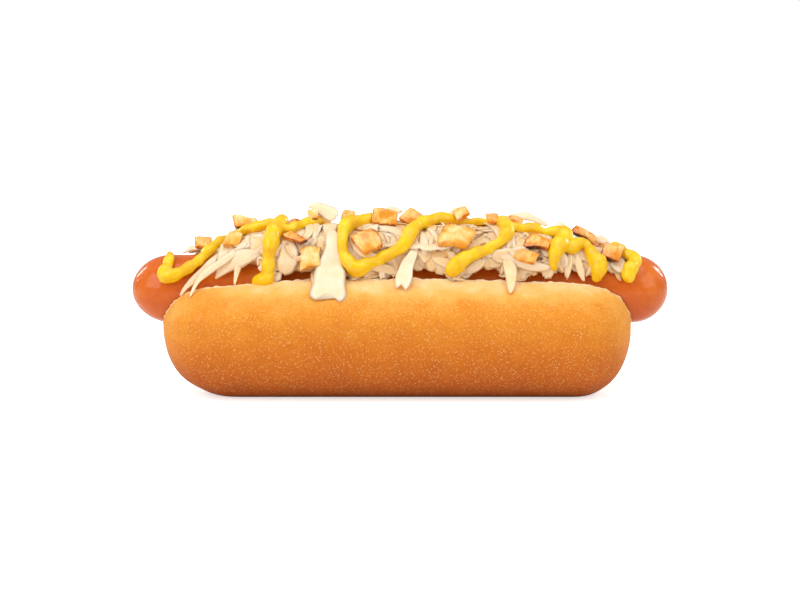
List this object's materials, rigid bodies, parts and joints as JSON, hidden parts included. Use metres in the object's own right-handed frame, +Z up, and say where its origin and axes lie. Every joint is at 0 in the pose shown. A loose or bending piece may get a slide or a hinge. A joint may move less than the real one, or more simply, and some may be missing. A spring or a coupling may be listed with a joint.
{
  "type": "hot dog",
  "caption": "Frankfurter in a soft split bun, topped with a heap of sauerkraut shreds, browned diced onion and a zigzag of yellow mustard.",
  "frame": {"origin": "on the ground under the middle of the hot dog", "axes": "+X along the sausage, towards the end with the short separate mustard stroke; -Y towards the side where the sauerkraut hangs over the bun; +Z up"},
  "size_m": [0.1744, 0.056, 0.0609],
  "materials": {
    "crust": "soft golden-brown crust, matte with a faint sheen",
    "sausage_skin": "tight, glossy orange-red skin",
    "kraut": "wet, pale straw, a little translucent",
    "mustard": "smooth wet yellow",
    "onion": "soft golden flesh with browned edges"
  },
  "bodies": {
    "root": {"bun": "crust", "sausage": "sausage_skin", "sauerkraut": "kraut", "mustard": "mustard", "mustard_end": "mustard", "onion_01": "onion", "onion_02": "onion", "onion_03": "onion", "onion_04": "onion", "onion_05": "onion", "onion_06": "onion", "onion_07": "onion", "onion_08": "onion", "onion_09": "onion", "onion_10": "onion", "onion_11": "onion", "onion_12": "onion", "onion_13": "onion", "onion_14": "onion", "onion_15": "onion", "onion_16": "onion", "onion_17": "onion", "onion_18": "onion", "onion_19": "onion", "onion_20": "onion", "onion_21": "onion", "onion_22": "onion", "onion_23": "onion", "onion_24": "onion", "onion_25": "onion", "onion_26": "onion"}
  },
  "joints": []
}
